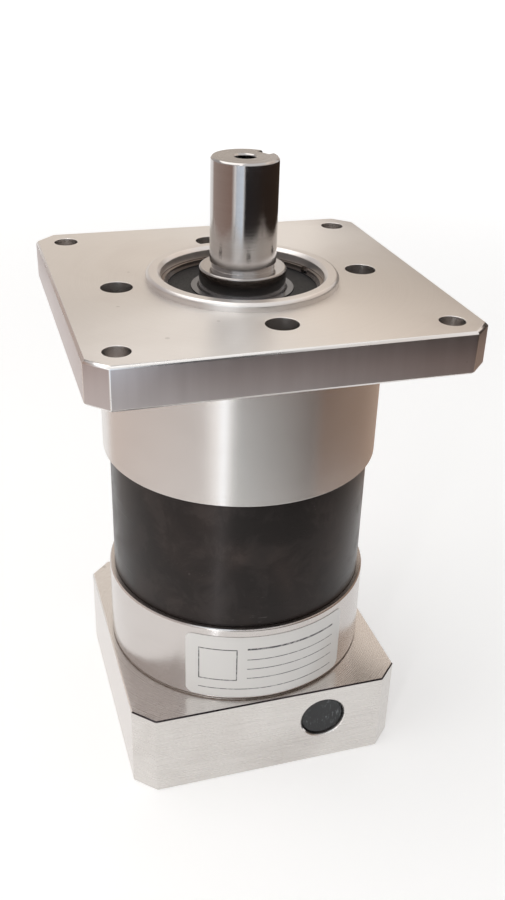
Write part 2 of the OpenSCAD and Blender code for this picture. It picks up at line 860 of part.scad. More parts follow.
module stage2_sun_gear() {
    turn = planet2_teeth % 2 == 0 ? 180 / sun2_teeth : 0;
    color(steel) {
        at_z(window1_top_z)
            rod(sun2_shank_d / 2, plate1_top_z - window1_top_z + eps, casing_edge);
        at_z(plate1_top_z)
            rotate(turn)
                linear_extrude(window2_top_z - sun_end_gap - plate1_top_z)
                    gear_profile(sun2_teeth);
    }
}

module stage1_planet_gear(i) {
    planet_gear(planet1_teeth, orbit1_r, pin1_d,
        window1_z + washer_t + shake_gap, planet1_w, i);
}

module stage1_planet_bush(i) {
    planet_bush(orbit1_r, pin1_d, window1_z + washer_t + shake_gap, planet1_w, i);
}

// Input shaft: a hub that clamps the motor's shaft and carries the first sun gear

module input_hub() {
    seat_r = bore_r(large_bearing);
    race_top_z = input_bearing_z + width(large_bearing);
    color(steel)
        difference() {
            union() {
                at_z(hub_foot_z)
                    rod(hub_sleeve_r, clamp_top_z - hub_foot_z + eps, casing_edge);
                at_z(clamp_top_z)
                    rod(hub_seal_r, input_bearing_z - clamp_top_z, casing_edge, casing_edge);
                at_z(input_bearing_z - eps)
                    rod(seat_r, hub_top_z - input_bearing_z + eps, 0, casing_edge);
            }
            at_z(hub_foot_z - eps) cylinder(d = motor_shaft_d, h = hub_bore_l + eps);
            at_z(hub_foot_z - eps)
                cylinder(d1 = motor_shaft_d + 2 * hub_mouth, d2 = motor_shaft_d, h = hub_mouth);
            for (a = [0, 90])
                rotate(a)
                    translate([-hub_sleeve_r - eps, -hub_slit_w / 2, hub_foot_z - eps])
                        cube([2 * (hub_sleeve_r + eps), hub_slit_w, hub_slit_l]);
            at_z(hub_top_z - sun1_shank_l)
                cylinder(d = sun1_shank_d + 2 * seat_gap, h = sun1_shank_l + eps);
            shaft_groove(seat_r, race_top_z, circlip_t);
        }
}

module stage1_sun_gear() {
    turn = planet1_teeth % 2 == 0 ? 180 / sun1_teeth : 0;
    shank_z = hub_top_z - sun1_shank_l;
    color(steel) {
        at_z(shank_z) rod(sun1_shank_d / 2, window1_z - shank_z + eps, casing_edge);
        at_z(window1_z)
            rotate(turn)
                linear_extrude(window1_h - sun_end_gap) gear_profile(sun1_teeth);
    }
}

module hub_circlip() {
    color(dark_steel)
        at_z(input_bearing_z + width(large_bearing))
            shaft_ring(bore_r(large_bearing), circlip_t, 300);
}

module clamp_collar() {
    low_z = clamp_top_z - clamp_collar_h;
    reach = clamp_screw_l - clamp_seat_y;
    color(dark_steel)
        difference() {
            at_z(low_z) rod(clamp_collar_r, clamp_collar_h, casing_edge, casing_edge);
            at_z(low_z - eps)
                cylinder(r = hub_sleeve_r + seat_gap, h = clamp_collar_h + 2 * eps);
            translate([0, -clamp_slit_w / 2, low_z - eps])
                cube([clamp_collar_r + 1, clamp_slit_w, clamp_collar_h + 2 * eps]);
            translate([clamp_offset, 0, clamp_z])
                rotate([90, 0, 0]) {
                    cylinder(d = m6[4], h = clamp_collar_r);
                    at_z(clamp_seat_y) cylinder(d = m6[5], h = clamp_collar_r);
                    at_z(-clamp_collar_r)
                        cylinder(d = m6[0] + 2 * seat_gap, h = clamp_collar_r + eps);
                }
        }
}

module clamp_screw() {
    color(dark_steel)
        translate([clamp_offset, -clamp_seat_y, clamp_z])
            rotate([90, 0, 0]) cap_screw(m6, clamp_screw_l);
}

// The bearings in their places

module front_bearing_outer_race() {
    color(steel) at_z(front_bearing_z) outer_race(small_bearing);
}

module front_bearing_inner_race() {
    color(steel) at_z(front_bearing_z) inner_race(small_bearing);
}

module front_bearing_shields() {
    color(rubber) at_z(front_bearing_z) shields(small_bearing);
}

module front_bearing_balls() {
    color(steel) at_z(front_bearing_z) ball_set(small_bearing);
}

module front_bearing_cage() {
    color(brass) at_z(front_bearing_z) cage(small_bearing);
}

module rear_bearing_outer_race() {
    color(steel) at_z(rear_bearing_z) outer_race(large_bearing);
}

module rear_bearing_inner_race() {
    color(steel) at_z(rear_bearing_z) inner_race(large_bearing);
}

module rear_bearing_shields() {
    color(rubber) at_z(rear_bearing_z) shields(large_bearing);
}

module rear_bearing_balls() {
    color(steel) at_z(rear_bearing_z) ball_set(large_bearing);
}

module rear_bearing_cage() {
    color(brass) at_z(rear_bearing_z) cage(large_bearing);
}

module input_bearing_outer_race() {
    color(steel) at_z(input_bearing_z) outer_race(large_bearing);
}

module input_bearing_inner_race() {
    color(steel) at_z(input_bearing_z) inner_race(large_bearing);
}

module input_bearing_shields() {
    color(rubber) at_z(input_bearing_z) shields(large_bearing);
}

module input_bearing_balls() {
    color(steel) at_z(input_bearing_z) ball_set(large_bearing);
}

module input_bearing_cage() {
    color(brass) at_z(input_bearing_z) cage(large_bearing);
}

output_housing();
ring_gear();
input_housing();
motor_adapter();
front_bearing_outer_race();
front_bearing_inner_race();
front_bearing_shields();
front_bearing_balls();
front_bearing_cage();
rear_bearing_outer_race();
rear_bearing_inner_race();
rear_bearing_shields();
rear_bearing_balls();
rear_bearing_cage();
input_bearing_outer_race();
input_bearing_inner_race();
input_bearing_shields();
input_bearing_balls();
input_bearing_cage();
front_snap_ring();
rear_bearing_circlip();
shaft_circlip();
input_bearing_circlip();
hub_circlip();
input_seal();
output_joint_oring();
input_joint_oring();
housing_screws();
ring_screws();
adapter_screws();
rating_label();
output_shaft();
stage2_planet_pins();
stage2_thrust_washers();
stage2_planet_gear(0);  // stage2_planet_gear_1
stage2_planet_gear(1);  // stage2_planet_gear_2
stage2_planet_gear(2);  // stage2_planet_gear_3
stage2_planet_bush(0);  // stage2_planet_bush_1
stage2_planet_bush(1);  // stage2_planet_bush_2
stage2_planet_bush(2);  // stage2_planet_bush_3
stage1_carrier();
stage2_sun_gear();
stage1_planet_pins();
stage1_thrust_washers();
carrier_wear_disc();
stage1_planet_gear(0);  // stage1_planet_gear_1
stage1_planet_gear(1);  // stage1_planet_gear_2
stage1_planet_gear(2);  // stage1_planet_gear_3
stage1_planet_bush(0);  // stage1_planet_bush_1
stage1_planet_bush(1);  // stage1_planet_bush_2
stage1_planet_bush(2);  // stage1_planet_bush_3
input_hub();
stage1_sun_gear();
clamp_collar();
clamp_screw();
access_plug();
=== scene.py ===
import math

import bmesh
import bpy
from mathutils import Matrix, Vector


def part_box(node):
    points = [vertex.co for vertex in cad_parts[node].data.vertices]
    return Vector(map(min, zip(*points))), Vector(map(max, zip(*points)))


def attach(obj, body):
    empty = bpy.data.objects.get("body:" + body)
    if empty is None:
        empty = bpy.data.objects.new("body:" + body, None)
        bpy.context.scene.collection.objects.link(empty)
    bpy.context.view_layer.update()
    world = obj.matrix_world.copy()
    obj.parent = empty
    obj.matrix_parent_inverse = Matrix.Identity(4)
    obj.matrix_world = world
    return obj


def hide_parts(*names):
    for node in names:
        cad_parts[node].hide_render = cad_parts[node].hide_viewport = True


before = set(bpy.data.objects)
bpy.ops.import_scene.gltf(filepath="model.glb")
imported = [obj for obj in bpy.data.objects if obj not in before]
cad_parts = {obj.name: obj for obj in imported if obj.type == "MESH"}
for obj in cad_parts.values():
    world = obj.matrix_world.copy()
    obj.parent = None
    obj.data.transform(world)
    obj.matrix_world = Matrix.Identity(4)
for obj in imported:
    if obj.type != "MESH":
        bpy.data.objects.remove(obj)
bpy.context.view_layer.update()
print("reducer loaded:", len(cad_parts), "parts")

scene = bpy.context.scene
scene.view_settings.view_transform = "Standard"
mm = 0.001

# camera, floor, lamps and cards

cameraSetup = {
    "place": (-0.08041, -0.26581, 0.24641),
    "turn": (61.269, -1.568, -16.889),  # degrees
    "lens": 40.27,
    "sensor": 36.0,
    "nearest": 0.01,  # closer things are not seen
}

studio = {
    "floorSize": 6.0,
    "floorColor": (0.78, 0.775, 0.77, 1),
    "floorRough": 0.9,
    "floorShine": 0.1,
    "floorGlow": (0.38, 0.74),  # the floor's own white, near the reducer and far away
    "glowReach": (0.30, 1.30),
    "fill": 0.56,  # soft light from all around
    "aim": (0, 0, 0.1),  # the middle of the reducer
    "cardSteps": 48,  # faces along each card
}

# azimuth and elevation in degrees, seen from the middle of the reducer
lampSetups = {
    "windowStrip": {
        "azimuth": -124, "elevation": 24, "distance": 0.55,
        "size": (0.030, 0.55), "power": 0.45, "color": (1.0, 0.99, 0.97),
    },
    "ceilingSoft": {
        "azimuth": 150, "elevation": 68, "distance": 0.9,
        "size": (0.7, 0.7), "power": 1.8, "color": (1.0, 0.96, 0.92),
    },
    "leftSoft": {
        "azimuth": 195, "elevation": 25, "distance": 0.8,
        "size": (0.5, 0.6), "power": 1.2, "color": (1.0, 0.96, 0.94),
    },
}

# curved cards that only the metal sees: azimuths, heights and radius in metres,
# the share of each side that fades out, and their colors from first to last
cardSetups = {
    "frontLow": {
        "span": (-114.5, -46), "heights": (0.0, 0.090), "radius": 0.160, "soft": (0.09, 0.04),
        "colors": ((0.61, 0.635, 0.635), (0.15, 0.122, 0.106)),
    },
    "frontHigh": {
        "span": (-112, -40), "heights": (0.086, 0.122), "radius": 0.161, "soft": (0.06, 0.06),
        "colors": ((0.34, 0.27, 0.262), (0.225, 0.15, 0.127)),
    },
    "rightLow": {
        "span": (-56, 66), "heights": (0.0, 0.122), "radius": 0.163, "soft": (0.08, 0.04),
        "colors": ((0.205, 0.142, 0.11), (0.55, 0.415, 0.33)),
    },
    "leftNear": {
        "span": (126, 241), "heights": (0.0, 0.122), "radius": 0.160, "soft": (0.12, 0.04),
        "colors": ((0.78, 0.67, 0.61), (0.72, 0.68, 0.66)),
    },
    "brightSlit": {
        "span": (-118.6, -115.0), "heights": (0.0, 0.108), "radius": 0.155, "soft": (0.30, 0.08),
        "colors": ((1.9, 2.05, 2.2), (1.9, 2.05, 2.2)),
    },
    "floorSlit": {
        "span": (-121, -118), "heights": (0.0, 0.045), "radius": 0.105, "soft": (0.35, 0.30),
        "colors": ((5.0, 5.3, 5.6), (5.0, 5.3, 5.6)),
    },
    "shaftFront": {
        "span": (-108, -40), "heights": (0.127, 0.175), "radius": 0.113, "soft": (0.05, 0.05),
        "colors": ((0.028, 0.027, 0.030), (0.035, 0.025, 0.020)),
    },
    "shaftRight": {
        "span": (-56, 62), "heights": (0.127, 0.175), "radius": 0.112, "soft": (0.08, 0.05),
        "colors": ((0.030, 0.020, 0.016), (0.055, 0.036, 0.024)),
    },
    "shaftLeft": {
        "span": (122, 226), "heights": (0.127, 0.175), "radius": 0.114, "soft": (0.14, 0.05),
        "colors": ((0.52, 0.43, 0.39), (0.34, 0.225, 0.185)),
    },
    "shaftWindow": {
        "span": (-135, -108), "heights": (0.127, 0.175), "radius": 0.111, "soft": (0.10, 0.05),
        "colors": ((0.80, 0.88, 0.98), (1.00, 1.14, 1.30)),
    },
    "windowHigh": {
        "span": (-150, -100), "heights": (0.19, 0.42), "radius": 0.30, "soft": (0.20, 0.10),
        "colors": ((0.95, 1.00, 1.05), (1.05, 1.12, 1.19)),
    },
    "rightWall": {
        "span": (-75, 42), "heights": (0.17, 0.60), "radius": 0.42, "soft": (0.25, 0.25),
        "colors": ((0.62, 0.55, 0.50), (0.95, 0.84, 0.75)),
    },
    "backHigh": {
        "span": (-20, 76), "heights": (0.47, 0.95), "radius": 0.58, "soft": (0.15, 0.12),
        "colors": ((1.25, 1.12, 1.00), (1.25, 1.12, 1.00)),
    },
    "backRight": {
        "span": (38, 70), "heights": (0.16, 0.75), "radius": 0.60, "soft": (0.02, 0.15),
        "colors": ((0.48, 0.40, 0.35), (0.84, 0.75, 0.66)),
    },
    "backLeft": {
        "span": (70, 114), "heights": (0.16, 0.75), "radius": 0.60, "soft": (0.02, 0.15),
        "colors": ((0.84, 0.75, 0.66), (0.66, 0.61, 0.57)),
    },
    "leftCard": {
        "span": (112, 233), "heights": (0.17, 0.50), "radius": 0.34, "soft": (0.06, 0.12),
        "colors": ((0.56, 0.53, 0.52), (0.42, 0.41, 0.42)),
    },
}


def wayTo(azimuth, elevation):
    a = math.radians(azimuth)
    e = math.radians(elevation)
    return Vector((math.cos(a) * math.cos(e), math.sin(a) * math.cos(e), math.sin(e)))


def makeCamera():
    data = bpy.data.cameras.new("camera")
    data.lens = cameraSetup["lens"]
    data.sensor_width = cameraSetup["sensor"]
    data.clip_start = cameraSetup["nearest"]
    camera = bpy.data.objects.new("camera", data)
    camera.location = cameraSetup["place"]
    camera.rotation_euler = [math.radians(turn) for turn in cameraSetup["turn"]]
    scene.collection.objects.link(camera)
    scene.camera = camera


def makeLamps():
    for name, setup in lampSetups.items():
        data = bpy.data.lights.new(name, "AREA")
        data.shape = "RECTANGLE"
        data.size, data.size_y = setup["size"]
        data.energy = setup["power"]
        data.color = setup["color"]
        lamp = bpy.data.objects.new(name, data)
        way = wayTo(setup["azimuth"], setup["elevation"])
        lamp.location = Vector(studio["aim"]) + way * setup["distance"]
        lamp.rotation_euler = way.to_track_quat("Z", "Y").to_euler()
        lamp.visible_camera = False
        scene.collection.objects.link(lamp)


# short calls for the nodes that every shader tree here uses

def addNode(tree, kind, **settings):
    made = tree.nodes.new("ShaderNode" + kind)
    for key, value in settings.items():
        setattr(made, key, value)
    return made


def feed(tree, value, socket):
    # value is another node's output, or a plain number, vector or color
    if isinstance(value, bpy.types.NodeSocket):
        tree.links.new(value, socket)
    else:
        socket.default_value = value


def calc(tree, operation, *values):
    made = addNode(tree, "Math", operation=operation)
    for i, value in enumerate(values):
        feed(tree, value, made.inputs[i])
    return made.outputs[0]


def times(tree, first, second):
    return calc(tree, "MULTIPLY", first, second)


def plus(tree, first, second):
    return calc(tree, "ADD", first, second)


def remap(tree, value, fromLow, fromHigh, toLow=0.0, toHigh=1.0, smooth=True):
    made = addNode(tree, "MapRange", interpolation_type="SMOOTHSTEP" if smooth else "LINEAR")
    feed(tree, value, made.inputs["Value"])
    feed(tree, fromLow, made.inputs["From Min"])
    feed(tree, fromHigh, made.inputs["From Max"])
    feed(tree, toLow, made.inputs["To Min"])
    feed(tree, toHigh, made.inputs["To Max"])
    return made.outputs[0]


def blendColor(tree, factor, first, second, mode="MIX"):
    made = addNode(tree, "Mix", data_type="RGBA", blend_type=mode)
    feed(tree, factor, made.inputs[0])
    feed(tree, first, made.inputs[6])
    feed(tree, second, made.inputs[7])
    return made.outputs[2]


def noiseAt(tree, place, scale, detail=2.0, roughness=0.5, bend=0.0, flat=False):
    made = addNode(tree, "TexNoise", noise_dimensions="1D" if flat else "3D")
    feed(tree, place, made.inputs["W" if flat else "Vector"])
    feed(tree, scale, made.inputs["Scale"])
    made.inputs["Detail"].default_value = detail
    made.inputs["Roughness"].default_value = roughness
    made.inputs["Distortion"].default_value = bend
    return made.outputs[0]


def placeOn(tree, output="Object"):
    return addNode(tree, "TexCoord").outputs[output]


def splitVector(tree, vector):
    parts = addNode(tree, "SeparateXYZ")
    tree.links.new(vector, parts.inputs[0])
    return parts.outputs


def vectorStep(tree, operation, *values):
    made = addNode(tree, "VectorMath", operation=operation)
    for i, value in enumerate(values):
        feed(tree, value, made.inputs[i])
    return made.outputs


def startGroup(name, inputs, outputs):
    tree = bpy.data.node_groups.new(name, "ShaderNodeTree")
    for label, value in inputs.items():
        kind = "NodeSocketVector" if isinstance(value, tuple) else "NodeSocketFloat"
        socket = tree.interface.new_socket(label, in_out="INPUT", socket_type=kind)
        socket.default_value = value
    for label in outputs:
        tree.interface.new_socket(label, in_out="OUTPUT", socket_type="NodeSocketFloat")
    return tree, tree.nodes.new("NodeGroupInput").outputs, tree.nodes.new("NodeGroupOutput").inputs


def useGroup(tree, group, **values):
    made = addNode(tree, "Group", node_tree=group)
    for name, value in values.items():
        feed(tree, value, made.inputs[name])
    return made.outputs


def seenRays(tree):
    # 1 for the rays that show the surroundings: from the camera, off metal, through glass
    rays = addNode(tree, "LightPath").outputs
    first = calc(tree, "MAXIMUM", rays["Is Camera Ray"], rays["Is Glossy Ray"])
    return calc(tree, "MAXIMUM", first, rays["Is Transmission Ray"])


def makeWorld():
    world = bpy.data.worlds.new("studio")
    world.use_nodes = True
    scene.world = world
    tree = world.node_tree
    background = tree.nodes["Background"]
    background.inputs["Color"].default_value = (1, 1, 1, 1)
    strength = remap(tree, seenRays(tree), 0.0, 1.0, studio["fill"], 1.0, smooth=False)
    tree.links.new(strength, background.inputs["Strength"])


def linkMesh(name, mesh):
    piece = bpy.data.objects.new(name, mesh)
    scene.collection.objects.link(piece)
    return piece


def makeFloor():
    half = studio["floorSize"] / 2
    corners = [(-half, -half, 0), (half, -half, 0), (half, half, 0), (-half, half, 0)]
    mesh = bpy.data.meshes.new("floor")
    mesh.from_pydata(corners, [], [(0, 1, 2, 3)])
    floor = linkMesh("floor", mesh)
    material = bpy.data.materials.new("floorPaint")
    material.use_nodes = True
    tree = material.node_tree
    paint = tree.nodes["Principled BSDF"].inputs
    paint["Base Color"].default_value = studio["floorColor"]
    paint["Roughness"].default_value = studio["floorRough"]
    paint["Specular IOR Level"].default_value = studio["floorShine"]
    paint["Emission Color"].default_value = (1, 1, 1, 1)
    away = vectorStep(tree, "LENGTH", placeOn(tree))["Value"]
    glow = remap(tree, away, *studio["glowReach"], *studio["floorGlow"])
    feed(tree, times(tree, seenRays(tree), glow), paint["Emission Strength"])
    mesh.materials.append(material)


def cardShape(name, setup):
    steps = studio["cardSteps"]
    low, high = setup["heights"]
    first, last = setup["span"]
    points = []
    for i in range(steps + 1):
        a = math.radians(first + (last - first) * i / steps)
        x = math.cos(a) * setup["radius"]
        y = math.sin(a) * setup["radius"]
        points += [(x, y, low), (x, y, high)]
    faces = [(2 * i, 2 * i + 2, 2 * i + 3, 2 * i + 1) for i in range(steps)]
    mesh = bpy.data.meshes.new(name)
    mesh.from_pydata(points, [], faces)
    layer = mesh.uv_layers.new(name="card")
    for face in mesh.polygons:
        for corner in face.loop_indices:
            vertex = mesh.loops[corner].vertex_index
            layer.data[corner].uv = (vertex // 2 / steps, vertex % 2)
    return mesh


def cardGlow(name, setup):
    material = bpy.data.materials.new(name)
    material.use_nodes = True
    tree = material.node_tree
    tree.nodes.remove(tree.nodes["Principled BSDF"])
    place = splitVector(tree, placeOn(tree, "UV"))
    mask = 1.0
    for axis in (0, 1):
        fromMiddle = calc(tree, "ABSOLUTE", calc(tree, "SUBTRACT", place[axis], 0.5))
        edge = calc(tree, "SUBTRACT", 0.5, fromMiddle)
        mask = times(tree, mask, remap(tree, edge, 0.0, setup["soft"][axis]))
    glow = addNode(tree, "Emission")
    near, far = setup["colors"]
    tree.links.new(blendColor(tree, place[0], (*near, 1), (*far, 1)), glow.inputs["Color"])
    mix = addNode(tree, "MixShader")
    tree.links.new(mask, mix.inputs[0])
    tree.links.new(addNode(tree, "BsdfTransparent").outputs[0], mix.inputs[1])
    tree.links.new(glow.outputs[0], mix.inputs[2])
    tree.links.new(mix.outputs[0], tree.nodes["Material Output"].inputs["Surface"])
    return material


def makeCard(name, setup):
    mesh = cardShape(name, setup)
    card = linkMesh(name, mesh)
    mesh.materials.append(cardGlow(name, setup))
    card.visible_camera = False
    card.visible_diffuse = False
    card.visible_shadow = False


makeCamera()
makeLamps()
makeWorld()
makeFloor()
for cardName, cardSetup in cardSetups.items():
    makeCard(cardName, cardSetup)
print("studio ready:", len(lampSetups), "lamps and", len(cardSetups), "cards")

# effects shared by the finishes

# detail, roughness and bend of each noise
grainSetup = {
    "level": 0.7,  # a face whose normal points up more than this is turned along its radius
    "Lines": (4.0, 0.65),
    "Bands": (3.0, 0.6),
    "drawn": (4.0, 0.6),
    "patches": (4.0, 0.6, 0.4), "patchSize": 45.0,
}


def makeTurnedGrain():
    # lathe lines: along the axis on round walls, along the radius on flat faces
    tree, start, end = startGroup("turnedGrain", {"Lines": 4.0, "Bands": 0.35}, ["Lines", "Bands"])
    place = addNode(tree, "TexCoord").outputs
    x, y, z = splitVector(tree, place["Object"])
    facing = splitVector(tree, place["Normal"])
    square = plus(tree, calc(tree, "POWER", x, 2.0), calc(tree, "POWER", y, 2.0))
    radius = times(tree, calc(tree, "SQRT", square), 1 / mm)
    height = times(tree, z, 1 / mm)
    flat = calc(tree, "GREATER_THAN", calc(tree, "ABSOLUTE", facing[2]), grainSetup["level"])
    upright = calc(tree, "SUBTRACT", 1.0, flat)
    along = plus(tree, times(tree, radius, flat), times(tree, height, upright))
    for label in ("Lines", "Bands"):
        tree.links.new(noiseAt(tree, along, start[label], *grainSetup[label], flat=True), end[label])
    return tree


def makeDrawnGrain():
    # straight cutter and sanding lines: long along one way, fine across it
    tree, start, end = startGroup("drawnGrain", {"Stretch": (40.0, 40.0, 3000.0)}, ["Lines", "Patches"])
    place = placeOn(tree)
    scaled = vectorStep(tree, "MULTIPLY", place, start["Stretch"])[0]
    tree.links.new(noiseAt(tree, scaled, 1.0, *grainSetup["drawn"]), end["Lines"])
    patches = noiseAt(tree, place, grainSetup["patchSize"], *grainSetup["patches"])
    tree.links.new(patches, end["Patches"])
    return tree


scuffSetup = {
    "turns": ((0.3, 0.9, 0.4), (1.2, -0.5, 1.1), (-0.7, 0.4, 2.3)),  # directions of the scratches
    "shifts": (0.0, 3.0, 7.0),
    "stretch": (90.0, 2600.0, 2600.0), "streak": (1.0, 0.4), "scratched": (0.735, 0.79),
    "patchSize": 70.0, "patched": (0.52, 0.68),
    "dentGrid": 130.0, "dented": (0.80, 1.0), "dentSize": 0.09,
}


def makeScuffs():
    # short scratches in three directions, gathered in patches, and small dents
    tree, start, end = startGroup("scuffs", {"Amount": 0.5, "Finer": 1.0}, ["Scratches", "Dents"])
    place = placeOn(tree)
    total = 0.0
    for turn, shift in zip(scuffSetup["turns"], scuffSetup["shifts"]):
        turned = addNode(tree, "Mapping")
        turned.inputs["Rotation"].default_value = turn
        turned.inputs["Location"].default_value = (shift, shift, shift)
        turned.inputs["Scale"].default_value = scuffSetup["stretch"]
        tree.links.new(place, turned.inputs[0])
        streak = noiseAt(tree, turned.outputs[0], start["Finer"], *scuffSetup["streak"])
        total = calc(tree, "MAXIMUM", total, remap(tree, streak, *scuffSetup["scratched"]))
    patches = remap(tree, noiseAt(tree, place, scuffSetup["patchSize"]), *scuffSetup["patched"])
    scratches = times(tree, times(tree, total, patches), start["Amount"])
    tree.links.new(scratches, end["Scratches"])
    cells = addNode(tree, "TexVoronoi")
    cells.inputs["Scale"].default_value = scuffSetup["dentGrid"]
    tree.links.new(place, cells.inputs["Vector"])
    shade = addNode(tree, "SeparateColor")
    tree.links.new(cells.outputs["Color"], shade.inputs[0])
    sizes = (0.0, scuffSetup["dentSize"])
    size = remap(tree, shade.outputs[0], *scuffSetup["dented"], *sizes, smooth=False)
    dents = calc(tree, "LESS_THAN", cells.outputs["Distance"], size)
    tree.links.new(times(tree, dents, start["Amount"]), end["Dents"])
    return tree


stainSetup = {
    "soft": (3.0, 0.55, 0.8),
    "blotches": (5.0, 0.65, 0.5), "finer": 4.0, "blotched": (0.42, 0.66),
}


def makeStains():
    # wide soft marks: handling, dried oil, uneven tone
    tree, start, end = startGroup("stains", {"Size": 30.0, "Seed": 0.0}, ["Soft", "Blotches"])
    moved = vectorStep(tree, "ADD", placeOn(tree), start["Seed"])[0]
    tree.links.new(noiseAt(tree, moved, start["Size"], *stainSetup["soft"]), end["Soft"])
    finer = times(tree, start["Size"], stainSetup["finer"])
    blotches = noiseAt(tree, moved, finer, *stainSetup["blotches"])
    tree.links.new(remap(tree, blotches, *stainSetup["blotched"]), end["Blotches"])
    return tree


turnedGrain = makeTurnedGrain()
drawnGrain = makeDrawnGrain()
scuffs = makeScuffs()
stains = makeStains()
print("shared effects ready")


def startMaterial(name, metallic=1.0, specular=0.5, anisotropy=0.0):
    material = bpy.data.materials.new(name)
    material.use_nodes = True
    tree = material.node_tree
    shader = tree.nodes["Principled BSDF"].inputs
    shader["Metallic"].default_value = metallic
    shader["Specular IOR Level"].default_value = specular
    if anisotropy:
        # a quarter turn, so that light smears across the lathe lines
        shader["Anisotropic"].default_value = anisotropy
        shader["Anisotropic Rotation"].default_value = 0.25
        way = addNode(tree, "Tangent", direction_type="RADIAL", axis="Z")
        tree.links.new(way.outputs[0], shader["Tangent"])
    return material, tree, shader


def addRelief(tree, shader, height, depth):
    # depth in mm
    bump = addNode(tree, "Bump")
    bump.inputs["Distance"].default_value = depth * mm
    bump.inputs["Strength"].default_value = 1.0
    feed(tree, height, bump.inputs["Height"])
    tree.links.new(bump.outputs[0], shader["Normal"])


# how strongly scratches and dents show, and their colors
markTones = {
    "turned": {"Scratches": (0.6, (0.85, 0.84, 0.83, 1)), "Dents": (0.7, (0.16, 0.13, 0.11, 1))},
    "milled": {"Scratches": (0.7, (0.88, 0.87, 0.86, 1)), "Dents": (0.75, (0.14, 0.11, 0.09, 1))},
    "oxide": {"Scratches": (0.5, (0.22, 0.20, 0.19, 1)), "Dents": (0.4, (0.14, 0.12, 0.11, 1))},
}

# a pair like these, or like stained and dusted below, is the part of a noise that is
# stretched to the full range
noiseMiddle = (0.3, 0.7)
noiseWide = (0.25, 0.75)


def showMarks(tree, color, marks, kind):
    for mark, (strength, tone) in markTones[kind].items():
        color = blendColor(tree, times(tree, marks[mark], strength), color, tone)
    return color


# turned and ground metals; seed moves the stains to another place
turnedFinishes = {
    "turnedAluminium": {
        "color": (0.70, 0.67, 0.65, 1), "dark": (0.60, 0.57, 0.545, 1), "rough": (0.23, 0.26),
        "anisotropy": 0.66, "lines": 9.0, "bands": 1.2,
        "tint": 0.12, "stain": 0.25, "scratches": 0.08, "seed": 15,
    },
    "facedAluminium": {
        "color": (0.75, 0.72, 0.69, 1), "dark": (0.66, 0.62, 0.59, 1), "rough": (0.37, 0.41),
        "anisotropy": 0.68, "lines": 6.0, "bands": 0.9,
        "tint": 0.08, "stain": 0.45, "scratches": 0.3, "seed": 14,
    },
    "pilotAluminium": {
        "color": (0.72, 0.69, 0.67, 1), "dark": (0.62, 0.585, 0.56, 1), "rough": (0.30, 0.36),
        "anisotropy": 0.5, "lines": 9.0, "bands": 1.2,
        "tint": 0.1, "stain": 0.3, "scratches": 0.3, "seed": 14,
    },
    "neckAluminium": {
        "color": (0.61, 0.575, 0.555, 1), "dark": (0.52, 0.485, 0.465, 1), "rough": (0.18, 0.22),
        "anisotropy": 0.66, "lines": 8.0, "bands": 1.0,
        "tint": 0.12, "stain": 0.35, "scratches": 0.3, "seed": 13,
    },
    "baseAluminium": {
        "color": (0.80, 0.775, 0.755, 1), "dark": (0.70, 0.67, 0.65, 1), "rough": (0.24, 0.29),
        "anisotropy": 0.45, "lines": 6.0, "bands": 0.9,
        "tint": 0.08, "stain": 0.45, "scratches": 0.4, "seed": 13,
    },
    "groundSteel": {
        "color": (0.50, 0.48, 0.47, 1), "dark": (0.38, 0.345, 0.325, 1), "rough": (0.085, 0.11),
        "anisotropy": 0.5, "lines": 10.0, "bands": 1.2,
        "tint": 0.15, "stain": 0.6, "scratches": 0.35, "seed": 11,
    },
    "shoulderSteel": {
        "color": (0.35, 0.33, 0.32, 1), "dark": (0.28, 0.255, 0.24, 1), "rough": (0.22, 0.28),
        "anisotropy": 0.5, "lines": 10.0, "bands": 1.2,
        "tint": 0.2, "stain": 0.4, "scratches": 0.4, "seed": 13,
    },
    # bearing races and balls: steel darkened far below its own colour as painted shade of the deep bore
    "paintedShadeBearingSteel": {
        "color": (0.17, 0.175, 0.19, 1), "dark": (0.11, 0.11, 0.12, 1), "rough": (0.14, 0.22),
        "anisotropy": 0.6, "lines": 8.0, "bands": 0.8,
        "tint": 0.3, "stain": 0.2, "scratches": 0.2, "seed": 12,
    },
    "gearSteel": {
        "color": (0.34, 0.33, 0.33, 1), "dark": (0.20, 0.19, 0.19, 1), "rough": (0.22, 0.34),
        "anisotropy": 0.0, "lines": 6.0, "bands": 0.8,
        "tint": 0.3, "stain": 0.5, "scratches": 0.3, "seed": 9,
    },
    "pinSteel": {
        "color": (0.55, 0.54, 0.53, 1), "dark": (0.42, 0.41, 0.40, 1), "rough": (0.12, 0.20),
        "anisotropy": 0.0, "lines": 6.0, "bands": 0.8,
        "tint": 0.3, "stain": 0.2, "scratches": 0.2, "seed": 8,
    },
    "springSteel": {
        "color": (0.34, 0.29, 0.255, 1), "dark": (0.20, 0.16, 0.14, 1), "rough": (0.18, 0.26),
        "anisotropy": 0.4, "lines": 5.0, "bands": 0.8,
        "tint": 0.3, "stain": 0.5, "scratches": 0.3, "seed": 11,
    },
    "cageBrass": {
        "color": (0.60, 0.44, 0.19, 1), "dark": (0.42, 0.29, 0.12, 1), "rough": (0.22, 0.34),
        "anisotropy": 0.0, "lines": 4.0, "bands": 0.6,
        "tint": 0.3, "stain": 0.5, "scratches": 0.3, "seed": 9,
    },
    "washerBronze": {
        "color": (0.52, 0.32, 0.17, 1), "dark": (0.36, 0.21, 0.11, 1), "rough": (0.26, 0.38),
        "anisotropy": 0.0, "lines": 4.0, "bands": 0.6,
        "tint": 0.3, "stain": 0.5, "scratches": 0.3, "seed": 12,
    },
}

# what all turned finishes share
turnedTraits = {
    "stainSize": 28.0, "stained": (0.45, 0.75), "fineTone": (0.96, 1.03),
    "blotchRough": 0.01, "scratchRough": 0.10,
    "dentDepth": 3.0, "scratchDepth": 0.8, "relief": 0.006,
}


